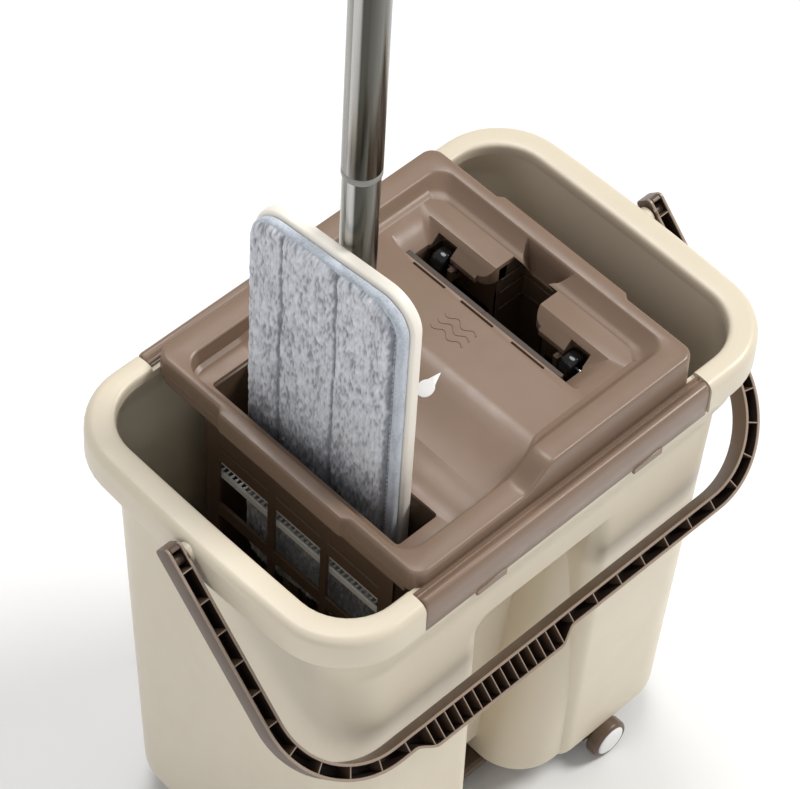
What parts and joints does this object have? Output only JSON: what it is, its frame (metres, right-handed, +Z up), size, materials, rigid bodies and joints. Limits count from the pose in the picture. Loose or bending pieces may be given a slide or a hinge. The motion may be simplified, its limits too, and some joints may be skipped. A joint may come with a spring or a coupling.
{
  "type": "flat mop and bucket set",
  "caption": "Flat mop standing in the wash slot of a tall bucket with wash and dry chambers, a lift-out slotted cover, a swinging carry handle and two small wheels.",
  "frame": {"origin": "middle of the bucket's footprint, on the floor", "axes": "+X from the wash end to the dry end, -Y towards the side the carry handle hangs on, +Z up along the pole"},
  "size_m": [0.4206, 0.2668, 1.593],
  "materials": {
    "bucket_plastic": "moulded, satin",
    "insert_plastic": "moulded, satin",
    "dark_plastic": "moulded, satin",
    "black_plastic": "smooth",
    "white_plastic": "smooth",
    "plate_plastic": "moulded",
    "collar_plastic": "moulded",
    "blade_rubber": "smooth",
    "foot_rubber": "smooth",
    "steel": "brushed",
    "pad_fabric": "woven",
    "pad_pile": "short microfibre pile",
    "pad_edge": "folded tape",
    "strip_fabric": "hooks"
  },
  "bodies": {
    "bucket": {"bucket_shell": "bucket_plastic", "base_brace": "insert_plastic", "rest_feet": "foot_rubber", "wheel_axle_near": "steel", "wheel_axle_far": "steel", "handle_pin_wash": "dark_plastic", "handle_pin_dry": "dark_plastic"},
    "near_wheel": {"wheel_near": "dark_plastic", "wheel_cap_near": "white_plastic"},
    "far_wheel": {"wheel_far": "dark_plastic", "wheel_cap_far": "white_plastic"},
    "handle": {"carry_handle": "dark_plastic"},
    "cover": {"insert_frame": "insert_plastic", "wash_well": "insert_plastic", "dry_well": "insert_plastic", "well_screws": "steel", "wash_brushes": "white_plastic", "scraper_blade": "blade_rubber", "roller_pin_near": "steel", "roller_pin_far": "steel", "wash_icon": "white_plastic", "dry_icon": "insert_plastic"},
    "near_roller": {"roller_near": "black_plastic"},
    "far_roller": {"roller_far": "black_plastic"},
    "mop_head": {"mop_plate": "plate_plastic", "pad_backing": "pad_fabric", "pad_pile": "pad_pile", "pad_binding": "pad_edge", "grip_strips": "strip_fabric"},
    "swivel": {"swivel_base": "dark_plastic", "swivel_ring": "steel", "hinge_pin": "steel"},
    "pole": {"pole_yoke": "dark_plastic", "lower_tube": "steel", "middle_tube": "steel", "upper_tube": "steel", "lower_collar": "collar_plastic", "upper_collar": "collar_plastic", "pole_grip": "dark_plastic", "hanging_cap": "dark_plastic"}
  },
  "joints": [
    {"name": "handle_swing", "type": "hinge", "parent": "bucket", "child": "handle", "pos_m": [0, 0, 0.39], "axis": [-1, 0, 0], "range_deg": [-1, 104]},
    {"name": "near_wheel_spin", "type": "hinge", "parent": "bucket", "child": "near_wheel", "pos_m": [0.094, -0.1065, 0.015], "axis": [0, 1, 0], "continuous": true},
    {"name": "far_wheel_spin", "type": "hinge", "parent": "bucket", "child": "far_wheel", "pos_m": [0.094, 0.1065, 0.015], "axis": [0, 1, 0], "continuous": true},
    {"name": "cover_lift", "type": "slide", "parent": "bucket", "child": "cover", "axis": [0, 0, 1], "range_m": [0, 0.06]},
    {"name": "near_roller_spin", "type": "hinge", "parent": "cover", "child": "near_roller", "pos_m": [0.069, -0.056, 0.397], "axis": [0, 1, 0], "continuous": true},
    {"name": "far_roller_spin", "type": "hinge", "parent": "cover", "child": "far_roller", "pos_m": [0.069, 0.056, 0.397], "axis": [0, 1, 0], "continuous": true},
    {"name": "mop_slide", "type": "slide", "parent": "cover", "child": "mop_head", "axis": [0, 0, 1], "range_m": [-0.17, 0.17]},
    {"name": "head_swivel", "type": "hinge", "parent": "mop_head", "child": "swivel", "pos_m": [-0.064, 0, 0.407], "axis": [0.9976, 0.0698, 0], "range_deg": [0, 30]},
    {"name": "pole_fold", "type": "hinge", "parent": "swivel", "child": "pole", "pos_m": [-0.064, 0, 0.407], "axis": [-0.0698, 0.9976, 0], "range_deg": [0, 45]}
  ]
}
